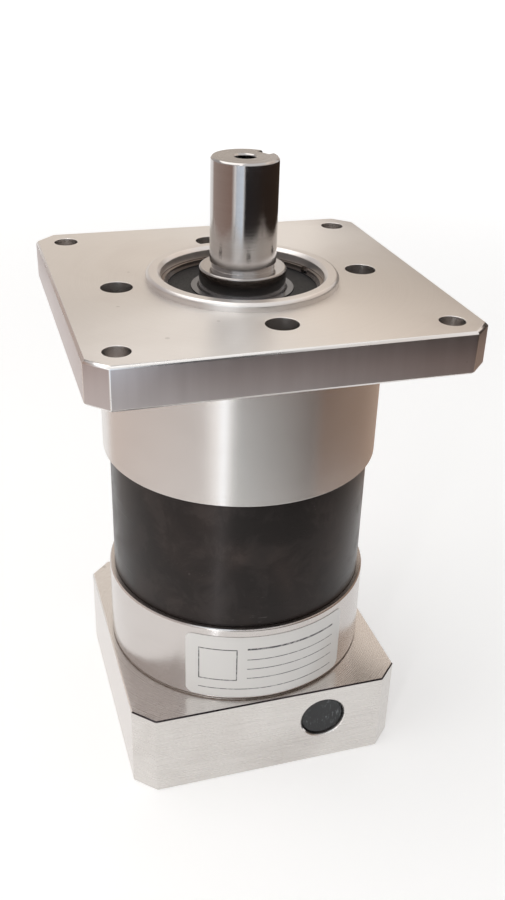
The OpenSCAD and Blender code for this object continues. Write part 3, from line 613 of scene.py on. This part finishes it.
def turnedFinish(name, setup):
    traits = turnedTraits
    material, tree, shader = startMaterial(name, anisotropy=setup["anisotropy"])
    grain = useGroup(tree, turnedGrain, Lines=setup["lines"], Bands=setup["bands"])
    marks = useGroup(tree, scuffs, Amount=setup["scratches"])
    tone = useGroup(tree, stains, Size=traits["stainSize"], Seed=setup["seed"])

    streak = times(tree, remap(tree, grain["Bands"], *noiseMiddle), setup["tint"])
    wash = times(tree, remap(tree, tone["Soft"], *traits["stained"]), setup["stain"])
    shade = calc(tree, "MINIMUM", plus(tree, streak, wash), 1.0)
    color = blendColor(tree, shade, setup["color"], setup["dark"])
    fine = remap(tree, grain["Lines"], *noiseMiddle, *traits["fineTone"])
    color = blendColor(tree, 1.0, color, fine, "MULTIPLY")
    feed(tree, showMarks(tree, color, marks, "turned"), shader["Base Color"])

    rough = remap(tree, grain["Lines"], *noiseWide, *setup["rough"])
    rough = plus(tree, rough, times(tree, tone["Blotches"], traits["blotchRough"]))
    rough = plus(tree, rough, times(tree, marks["Scratches"], traits["scratchRough"]))
    feed(tree, rough, shader["Roughness"])

    height = calc(tree, "SUBTRACT", grain["Lines"], times(tree, marks["Dents"], traits["dentDepth"]))
    height = calc(tree, "SUBTRACT", height, times(tree, marks["Scratches"], traits["scratchDepth"]))
    addRelief(tree, shader, height, traits["relief"])
    return material


# flat metal cut by a mill or a saw, chamfers in a painted highlight and a painted shade, and the grime
# that gathers in a joint
milledFinishes = {
    "milledAluminium": {
        "color": (0.72, 0.695, 0.67, 1), "dark": (0.62, 0.59, 0.565, 1), "rough": (0.25, 0.29),
        "stretch": (50.0, 50.0, 2600.0), "waves": 0.3, "lines": 0.08,
        "wear": 0.35, "depth": 0.012, "patchy": 0.01, "seed": 15,
    },
    "sawnAluminium": {
        "color": (0.61, 0.565, 0.56, 1), "dark": (0.54, 0.495, 0.485, 1), "rough": (0.38, 0.42),
        "stretch": (500.0, 500.0, 25.0), "waves": 0.1, "lines": 0.03,
        "wear": 0.15, "depth": 0.001, "patchy": 0.0, "seed": 13,
    },
    # lighter copy of the milled metal on chamfers, broken corners and the access mouth: painted
    # highlight
    "paintedHighlightEdge": {
        "color": (0.84, 0.82, 0.80, 1), "dark": (0.76, 0.74, 0.72, 1), "rough": (0.26, 0.30),
        "stretch": (60.0, 60.0, 60.0), "waves": 0.2, "lines": 0.02,
        "wear": 0.1, "depth": 0.001, "patchy": 0.0, "seed": 10,
    },
    # near-black chamfer metal: painted shade on the motor adapter's front top chamfer
    "paintedShadeEdge": {
        "color": (0.030, 0.024, 0.028, 1), "dark": (0.080, 0.065, 0.070, 1), "rough": (0.22, 0.32),
        "stretch": (60.0, 60.0, 60.0), "waves": 0.4, "lines": 0.02,
        "wear": 0.1, "depth": 0.001, "patchy": 0.0, "seed": 8,
    },
    "jointGrime": {
        "color": (0.10, 0.060, 0.038, 1), "dark": (0.22, 0.17, 0.13, 1), "rough": (0.45, 0.60),
        "stretch": (90.0, 90.0, 90.0), "waves": 0.7, "lines": 0.3,
        "wear": 0.2, "depth": 0.004, "patchy": 0.05, "seed": 10,
    },
}

milledTraits = {
    "stainSize": 26.0, "stained": (0.4, 0.75), "stain": 0.6,
    "waved": (0.4, 0.7),
    "shine": 0.4,  # how much the lines brighten, as a share of how much they darken
    "dentDepth": 3.0,
}


def milledFinish(name, setup):
    traits = milledTraits
    material, tree, shader = startMaterial(name)
    grain = useGroup(tree, drawnGrain, Stretch=setup["stretch"])
    marks = useGroup(tree, scuffs, Amount=setup["wear"])
    tone = useGroup(tree, stains, Size=traits["stainSize"], Seed=setup["seed"])

    wash = times(tree, remap(tree, tone["Soft"], *traits["stained"]), traits["stain"])
    waves = times(tree, remap(tree, grain["Patches"], *traits["waved"]), setup["waves"])
    wash = calc(tree, "MINIMUM", plus(tree, wash, waves), 1.0)
    color = blendColor(tree, wash, setup["color"], setup["dark"])
    fineTone = (1.0 - setup["lines"], 1.0 + setup["lines"] * traits["shine"])
    fine = remap(tree, grain["Lines"], *noiseWide, *fineTone)
    color = blendColor(tree, 1.0, color, fine, "MULTIPLY")
    feed(tree, showMarks(tree, color, marks, "milled"), shader["Base Color"])

    rough = remap(tree, grain["Lines"], *noiseWide, *setup["rough"])
    rough = plus(tree, rough, times(tree, tone["Blotches"], setup["patchy"]))
    feed(tree, rough, shader["Roughness"])
    height = calc(tree, "SUBTRACT", grain["Lines"], times(tree, marks["Dents"], traits["dentDepth"]))
    addRelief(tree, shader, height, setup["depth"])
    return material


# black oxide on turned steel: brownish bloom, rubbed spots, oil in the lathe lines
oxideFinishes = {
    "blackOxide": {
        "color": (0.028, 0.0235, 0.0225, 1), "worn": (0.056, 0.042, 0.038, 1),
        "rough": (0.27, 0.34), "anisotropy": 0.62,
    },
    "screwOxide": {
        "color": (0.035, 0.033, 0.033, 1), "worn": (0.060, 0.050, 0.045, 1),
        "rough": (0.26, 0.38), "anisotropy": 0.0,
    },
}

oxideTraits = {
    "metallic": 0.75, "lines": 3.0, "bands": 0.25, "scratches": 0.45,
    "stainSize": 22.0, "seed": 2, "bloomed": (0.4, 0.7), "bloom": 0.8,
    "mottle": (0.85, 1.2), "blotchRough": 0.08, "relief": 0.008,
}


def oxideFinish(name, setup):
    traits = oxideTraits
    material, tree, shader = startMaterial(name, traits["metallic"], anisotropy=setup["anisotropy"])
    grain = useGroup(tree, turnedGrain, Lines=traits["lines"], Bands=traits["bands"])
    marks = useGroup(tree, scuffs, Amount=traits["scratches"])
    tone = useGroup(tree, stains, Size=traits["stainSize"], Seed=traits["seed"])

    bloom = times(tree, remap(tree, tone["Soft"], *traits["bloomed"]), traits["bloom"])
    color = blendColor(tree, bloom, setup["color"], setup["worn"])
    mottle = remap(tree, tone["Blotches"], 0.0, 1.0, *traits["mottle"])
    color = blendColor(tree, 1.0, color, mottle, "MULTIPLY")
    feed(tree, showMarks(tree, color, marks, "oxide"), shader["Base Color"])

    rough = remap(tree, grain["Lines"], *noiseWide, *setup["rough"])
    rough = plus(tree, rough, times(tree, tone["Blotches"], traits["blotchRough"]))
    feed(tree, rough, shader["Roughness"])
    addRelief(tree, shader, calc(tree, "SUBTRACT", grain["Lines"], marks["Dents"]), traits["relief"])
    return material


rubberFinishes = {
    "sealRubber": {
        "color": (0.010, 0.010, 0.011, 1), "dusty": (0.020, 0.019, 0.018, 1),
        "rough": (0.40, 0.55), "specular": 0.2, "scratches": 0.15, "rubbed": 0.0,
    },
    "plugRubber": {
        "color": (0.014, 0.015, 0.017, 1), "dusty": (0.034, 0.038, 0.041, 1),
        "rough": (0.30, 0.45), "specular": 0.45, "scratches": 1.0, "rubbed": 0.75,
    },
}

rubberTraits = {
    "skin": (2500.0, 3.0, 0.6),  # size, detail and roughness of the fine skin
    "stretch": (1500.0, 900.0, 420.0), "streaked": (0.50, 0.68), "patched": (0.1, 0.9),
    "streakColor": (0.19, 0.21, 0.215, 1),
    "finer": 1.6, "scratchColor": (0.20, 0.215, 0.22, 1),
    "stainSize": 60.0, "seed": 5, "dusted": (0.4, 0.75), "dust": 0.7,
    "relief": 0.02,
}


def rubberFinish(name, setup):
    traits = rubberTraits
    material, tree, shader = startMaterial(name, metallic=0.0, specular=setup["specular"])
    grain = useGroup(tree, drawnGrain, Stretch=traits["stretch"])
    marks = useGroup(tree, scuffs, Amount=setup["scratches"], Finer=traits["finer"])
    tone = useGroup(tree, stains, Size=traits["stainSize"], Seed=traits["seed"])
    skin = noiseAt(tree, placeOn(tree), *traits["skin"])

    dust = times(tree, remap(tree, tone["Soft"], *traits["dusted"]), traits["dust"])
    color = blendColor(tree, dust, setup["color"], setup["dusty"])
    color = blendColor(tree, marks["Scratches"], color, traits["scratchColor"])
    streaks = remap(tree, grain["Lines"], *traits["streaked"])
    streaks = times(tree, streaks, remap(tree, tone["Blotches"], *traits["patched"]))
    color = blendColor(tree, times(tree, streaks, setup["rubbed"]), color, traits["streakColor"])
    feed(tree, color, shader["Base Color"])

    feed(tree, remap(tree, skin, *noiseMiddle, *setup["rough"]), shader["Roughness"])
    addRelief(tree, shader, calc(tree, "SUBTRACT", skin, marks["Scratches"]), traits["relief"])
    return material


# the rating label's print, in mm: across is measured round the neck, up from the motor face
labelPrint = {
    "radius": 41.6, "shift": -0.5,
    "box": (-22.5, -10.5, 36.5, 48.5), "boxLine": 0.35,  # empty frame: left, right, low, high
    "rules": [
        (-7.5, 22.5, 48.6, 0.32), (-7.5, 22.5, 44.6, 0.14), (-7.5, 22.5, 41.0, 0.14),
        (-7.5, 22.5, 37.4, 0.14), (-22.5, 22.5, 33.2, 0.14),
    ],  # left, right, height, half thickness
    "fade": 0.05,  # how far the ink's edge is soft
    "fleckGrain": (900.0, 3.0), "flecked": (0.35, 0.55), "thinnest": 0.55,  # gaps in the ink
    "paper": (0.79, 0.775, 0.755, 1), "aged": (0.70, 0.68, 0.66, 1), "ink": (0.05, 0.045, 0.05, 1),
    "stainSize": 40.0, "seed": 9, "stain": 0.5,
    "waveSize": 120.0, "relief": 0.05,
    "rough": (0.30, 0.42), "coat": 0.5, "coatRough": 0.12,
}


def labelFinish(name, setup):
    material, tree, shader = startMaterial(name, metallic=0.0)
    shader["Coat Weight"].default_value = setup["coat"]
    shader["Coat Roughness"].default_value = setup["coatRough"]
    place = placeOn(tree)
    x, y, z = splitVector(tree, place)
    angle = calc(tree, "ARCTAN2", x, times(tree, y, -1.0))
    across = calc(tree, "SUBTRACT", times(tree, angle, setup["radius"]), setup["shift"])
    up = times(tree, z, 1 / mm)

    def within(value, low, high):
        fade = setup["fade"]
        first = remap(tree, value, low - fade, low + fade)
        second = remap(tree, value, high - fade, high + fade, 1.0, 0.0)
        return times(tree, first, second)

    def filled(left, right, low, high):
        return times(tree, within(across, left, right), within(up, low, high))

    ink = 0.0
    for left, right, height, thick in setup["rules"]:
        ink = calc(tree, "MAXIMUM", ink, filled(left, right, height - thick, height + thick))
    left, right, low, high = setup["box"]
    line = setup["boxLine"]
    inner = filled(left + line, right - line, low + line, high - line)
    frameInk = calc(tree, "SUBTRACT", filled(left, right, low, high), inner)
    ink = calc(tree, "MAXIMUM", ink, frameInk)

    gaps = noiseAt(tree, place, *setup["fleckGrain"])
    fleck = remap(tree, gaps, *setup["flecked"], setup["thinnest"], 1.0)
    tone = useGroup(tree, stains, Size=setup["stainSize"], Seed=setup["seed"])
    paper = blendColor(tree, times(tree, tone["Soft"], setup["stain"]), setup["paper"], setup["aged"])
    color = blendColor(tree, times(tree, ink, fleck), paper, setup["ink"])
    feed(tree, color, shader["Base Color"])
    feed(tree, remap(tree, tone["Blotches"], 0.0, 1.0, *setup["rough"]), shader["Roughness"])
    addRelief(tree, shader, noiseAt(tree, place, setup["waveSize"]), setup["relief"])
    return material


materials = {}
for makeFinish, setups in (
    (turnedFinish, turnedFinishes), (milledFinish, milledFinishes), (oxideFinish, oxideFinishes),
    (rubberFinish, rubberFinishes), (labelFinish, {"labelFilm": labelPrint}),
):
    for finishName, finishSetup in setups.items():
        materials[finishName] = makeFinish(finishName, finishSetup)
print("finishes ready:", len(materials))

# the outer parts, with worn edges instead of sharp ones

edgeSetup = {
    "weld": 0.002,  # points closer than this become one, in mm
    "flat": 0.6, "broken": 28, "sharp": 34,  # angles between two faces, in degrees
    "segments": 2,
    "upright": 5.0,  # an upright edge rises more than this, in mm
    "faceWeight": 90,  # how much large faces decide the shading
}
slack = 0.05  # mm
level = 0.9  # a face is level where its normal rises more than this
steep = 0.3  # and steep where it rises less than this


def cadSolid(node):
    mesh = bmesh.new()
    mesh.from_mesh(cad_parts[node].data)
    bmesh.ops.remove_doubles(mesh, verts=mesh.verts, dist=edgeSetup["weld"] * mm)
    flat = math.radians(edgeSetup["flat"])
    bmesh.ops.dissolve_limit(mesh, angle_limit=flat, verts=mesh.verts, edges=mesh.edges)
    for face in mesh.faces:
        face.smooth = True
    return mesh


def middleOf(edge):
    return (edge.verts[0].co + edge.verts[1].co) / (2 * mm)


def isUpright(edge):
    return abs(edge.verts[0].co.z - edge.verts[1].co.z) > edgeSetup["upright"] * mm


def flatRadius(point):
    return math.hypot(point.x, point.y)


def sideReach(point):
    return max(abs(point.x), abs(point.y))


def breakEdges(mesh, width, chosen, slotIndex=-1):
    broken = math.radians(edgeSetup["broken"])
    edges = [edge for edge in mesh.edges
             if edge.is_manifold and edge.calc_face_angle() > broken and chosen(edge)]
    bmesh.ops.bevel(
        mesh, geom=edges, offset=width * mm, offset_type="OFFSET", segments=edgeSetup["segments"],
        profile=0.5, affect="EDGES", clamp_overlap=False, loop_slide=False, material=slotIndex,
    )


def paintFaces(mesh, finishNames, finishOf):
    # finishOf gets a face's middle in mm and its normal
    for face in mesh.faces:
        finishName = finishOf(face.calc_center_median() / mm, face.normal)
        face.material_index = finishNames.index(finishName)


def finishPiece(name, mesh, setup):
    data = bpy.data.meshes.new(name)
    for face in mesh.faces:
        face.smooth = True
    mesh.to_mesh(data)
    mesh.free()
    data.set_sharp_from_angle(angle=math.radians(edgeSetup["sharp"]))
    for finishName in setup["finishes"]:
        data.materials.append(materials[finishName])
    piece = linkMesh(name, data)
    weighted = piece.modifiers.new("weighted", "WEIGHTED_NORMAL")
    weighted.keep_sharp = True
    weighted.weight = edgeSetup["faceWeight"]
    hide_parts(setup["node"])
    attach(piece, setup["body"])


def ringCutter(name, center, axis, profile, slotIndex, steps=96):
    # a turned cutting tool: profile is (distance along the axis, radius) in mm
    turn = axis.to_track_quat("Z", "Y")
    mesh = bmesh.new()
    rings = []
    for along, radius in profile:
        ring = []
        for i in range(steps):
            a = 2 * math.pi * (i + 0.5) / steps
            spot = Vector((radius * math.cos(a), radius * math.sin(a), along))
            ring.append(mesh.verts.new((turn @ spot + center) * mm))
        rings.append(ring)
    for first, second in zip(rings, rings[1:]):
        for i in range(steps):
            j = (i + 1) % steps
            mesh.faces.new((first[i], first[j], second[j], second[i]))
    mesh.faces.new(list(reversed(rings[0])))
    mesh.faces.new(rings[-1])
    for face in mesh.faces:
        face.material_index = slotIndex
    bmesh.ops.recalc_face_normals(mesh, faces=mesh.faces)
    data = bpy.data.meshes.new(name)
    mesh.to_mesh(data)
    mesh.free()
    return linkMesh(name, data)


def cutAway(mesh, cutter, finishCount):
    # mesh becomes itself minus the cutter, which is then thrown away
    data = bpy.data.meshes.new("cutting")
    mesh.to_mesh(data)
    for _ in range(finishCount):
        data.materials.append(None)
        cutter.data.materials.append(None)
    work = linkMesh("cutting", data)
    cut = work.modifiers.new("cut", "BOOLEAN")
    cut.operation = "DIFFERENCE"
    cut.solver = "EXACT"
    cut.object = cutter
    bpy.context.view_layer.update()
    result = work.evaluated_get(bpy.context.evaluated_depsgraph_get()).to_mesh()
    mesh.clear()
    mesh.from_mesh(result)
    for thing in (work, cutter):
        shape = thing.data
        bpy.data.objects.remove(thing)
        bpy.data.meshes.remove(shape)


# in mm: heights, distances from the axis, radii, and on the last line the widths of the broken edges
housingSetup = {
    "node": "output_housing", "body": "housing", "slot": "cast_aluminium",
    "finishes": ["turnedAluminium", "facedAluminium", "sawnAluminium", "paintedHighlightEdge", "pilotAluminium"],
    "face": 150.6, "underside": 138.6, "side": 50.0, "wall": 41.5,
    "pilotFrom": 26.0, "pilotRise": 0.5, "bore": 25.0, "holesFrom": 29.0, "rimDepth": 1.2,
    "corners": 0.25, "pilot": 0.3, "holes": 0.18,
}


def makeOutputHousing():
    setup = housingSetup
    low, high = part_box(setup["node"])
    mesh = cadSolid(setup["node"])

    def finishOf(center, normal):
        tilt = abs(normal.z)
        outside = sideReach(center) > setup["side"]
        if center.z > setup["face"] + slack:
            return "pilotAluminium"
        if tilt > level and center.z > setup["face"] - 2 * slack:
            return "facedAluminium"
        if tilt > level and center.z > setup["underside"] - 2 * slack:
            return "sawnAluminium"
        if outside:
            # the flange's chamfer faces get the painted highlight
            return "sawnAluminium" if tilt < steep else "paintedHighlightEdge"
        return "turnedAluminium"

    def corners(edge):
        return sideReach(middleOf(edge)) > setup["side"] and isUpright(edge)

    def pilotRim(edge):
        point = middleOf(edge)
        return point.z > setup["face"] + setup["pilotRise"] and flatRadius(point) > setup["pilotFrom"]

    def holeRims(edge):
        point = middleOf(edge)
        radius = flatRadius(point)
        onFace = abs(point.z - setup["face"]) < slack and sideReach(point) < setup["side"]
        mouth = point.z > high.z / mm - setup["rimDepth"] and radius < setup["bore"]
        foot = point.z < low.z / mm + setup["rimDepth"] and radius > setup["wall"]
        return (onFace and radius > setup["holesFrom"]) or mouth or foot

    paintFaces(mesh, setup["finishes"], finishOf)
    breakEdges(mesh, setup["holes"], holeRims)
    breakEdges(mesh, setup["pilot"], pilotRim)
    # the broken flange corners get the painted highlight
    breakEdges(mesh, setup["corners"], corners, setup["finishes"].index("paintedHighlightEdge"))
    finishPiece("outputHousing", mesh, setup)


adapterSetup = {
    "node": "motor_adapter", "body": "housing", "slot": "milled_aluminium",
    "finishes": ["turnedAluminium", "baseAluminium", "milledAluminium", "paintedShadeEdge", "paintedHighlightEdge"],
    "cutCorners": 6.5,  # x and y together are this much shorter where a corner is cut
    "chamfer": 0.5, "frontward": -0.2,  # its height, and the normal's y on the front one
    "wallTilt": 0.1, "motorInset": 1.0,
    "accessPlace": (17.3, 17.1), "accessRadius": 7.1,  # right of the axis, and up
    "access": 0.45, "corners": 0.15, "motorHoles": 0.2,  # widths of the broken edges
}


def makeMotorAdapter():
    setup = adapterSetup
    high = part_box(setup["node"])[1]
    top, reach = high.z / mm, high.x / mm
    mesh = cadSolid(setup["node"])

    def finishOf(center, normal):
        tilt = abs(normal.z)
        if tilt > level and center.z > top - 2 * slack:
            return "baseAluminium"
        # top chamfers: the front one gets painted shade, the others a painted highlight
        if steep < normal.z < level and center.z > top - setup["chamfer"]:
            return "paintedShadeEdge" if normal.y < setup["frontward"] else "paintedHighlightEdge"
        wall = abs(center.x) + abs(center.y) > reach and tilt < setup["wallTilt"]
        motorFace = tilt > level and center.z < 2 * slack
        return "milledAluminium" if wall or motorFace else "turnedAluminium"

    def corners(edge):
        point = middleOf(edge)
        side = sideReach(point) > reach - slack
        cut = abs(point.x) + abs(point.y) > 2 * reach - setup["cutCorners"]
        return (side or cut) and isUpright(edge)

    def motorRims(edge):
        point = middleOf(edge)
        return point.z < slack and sideReach(point) < reach - setup["motorInset"]

    paintFaces(mesh, setup["finishes"], finishOf)
    rim, wide = setup["accessRadius"], setup["access"]
    right, up = setup["accessPlace"]
    flare = [(-2 * wide, rim - wide), (wide, rim + 2 * wide)]
    # the access hole's flared mouth gets the painted highlight
    bright = setup["finishes"].index("paintedHighlightEdge")
    tool = ringCutter("mouthTool", Vector((right, -reach, up)), Vector((0, -1, 0)), flare, bright)
    cutAway(mesh, tool, len(setup["finishes"]))
    breakEdges(mesh, setup["motorHoles"], motorRims)
    breakEdges(mesh, setup["corners"], corners, setup["finishes"].index("milledAluminium"))
    finishPiece("motorAdapter", mesh, setup)


neckSetup = {
    "node": "input_housing", "body": "housing", "slot": "cast_aluminium",
    "finishes": ["neckAluminium", "jointGrime"],
    "middle": 42.0, "rim": 0.25, "foot": 0.30,  # a height between both rims, and their widths
}


def makeNeck():
    setup = neckSetup
    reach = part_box(setup["node"])[1].x / mm
    mesh = cadSolid(setup["node"])

    def onWall(point):
        return flatRadius(point) > reach - 2 * slack

    def topRim(edge):
        return onWall(middleOf(edge)) and middleOf(edge).z > setup["middle"]

    def footRim(edge):
        return onWall(middleOf(edge)) and middleOf(edge).z < setup["middle"]

    breakEdges(mesh, setup["rim"], topRim)
    breakEdges(mesh, setup["foot"], footRim, setup["finishes"].index("jointGrime"))
    finishPiece("inputNeck", mesh, setup)


shaftSetup = {
    "node": "output_shaft", "body": "output", "slot": "ground_steel",
    "finishes": ["groundSteel", "shoulderSteel"],
    "above": 146.0, "top": 184.8, "shoulder": 9.7, "centerHole": 2.6,  # heights and radii
    "rims": 0.12,  # width of the broken edges
}


def makeShaft():
    setup = shaftSetup
    mesh = cadSolid(setup["node"])

    def finishOf(center, normal):
        seen = center.z > setup["above"] and normal.z > steep
        shoulder = seen and flatRadius(center) > setup["shoulder"]
        endFace = center.z > setup["top"] and normal.z > level
        return "shoulderSteel" if shoulder or endFace else "groundSteel"

    def visibleRims(edge):
        point = middleOf(edge)
        return point.z > setup["above"] and flatRadius(point) > setup["centerHole"]

    paintFaces(mesh, setup["finishes"], finishOf)
    breakEdges(mesh, setup["rims"], visibleRims)
    finishPiece("outputShaft", mesh, setup)


makeOutputHousing()
makeMotorAdapter()
makeNeck()
makeShaft()
print("outer parts ready")

# the finish of each part that keeps its own shape

bearings = ("front_bearing_", "rear_bearing_", "input_bearing_")
planets = [(stage, planet) for stage in (1, 2) for planet in (1, 2, 3)]
nodeFinishes = {
    "blackOxide": ["ring_gear"],
    "springSteel": ["front_snap_ring"],
    "screwOxide": [
        "housing_screws", "ring_screws", "adapter_screws", "clamp_screw",
        "rear_bearing_circlip", "shaft_circlip", "input_bearing_circlip", "hub_circlip",
    ],
    "groundSteel": ["stage1_carrier", "input_hub", "clamp_collar"],
    "paintedShadeBearingSteel": [name + part for name in bearings for part in ("outer_race", "inner_race", "balls")],
    "cageBrass": [name + "cage" for name in bearings]
    + [f"stage{stage}_planet_bush_{planet}" for stage, planet in planets],
    "sealRubber": [name + "shields" for name in bearings]
    + ["input_seal", "output_joint_oring", "input_joint_oring"],
    "plugRubber": ["access_plug"],
    "gearSteel": ["stage1_sun_gear", "stage2_sun_gear"]
    + [f"stage{stage}_planet_gear_{planet}" for stage, planet in planets],
    "pinSteel": ["stage1_planet_pins", "stage2_planet_pins"],
    "washerBronze": ["stage1_thrust_washers", "stage2_thrust_washers", "carrier_wear_disc"],
    "labelFilm": ["rating_label"],
}


def finishNodes():
    remade = {setup["node"] for setup in (housingSetup, adapterSetup, neckSetup, shaftSetup)}
    left = set(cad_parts) - remade
    for finishName, nodes in nodeFinishes.items():
        for node in nodes:
            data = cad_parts[node].data
            data.materials.clear()
            data.materials.append(materials[finishName])
            left.discard(node)
    print("parts without a finish:", sorted(left))


finishNodes()
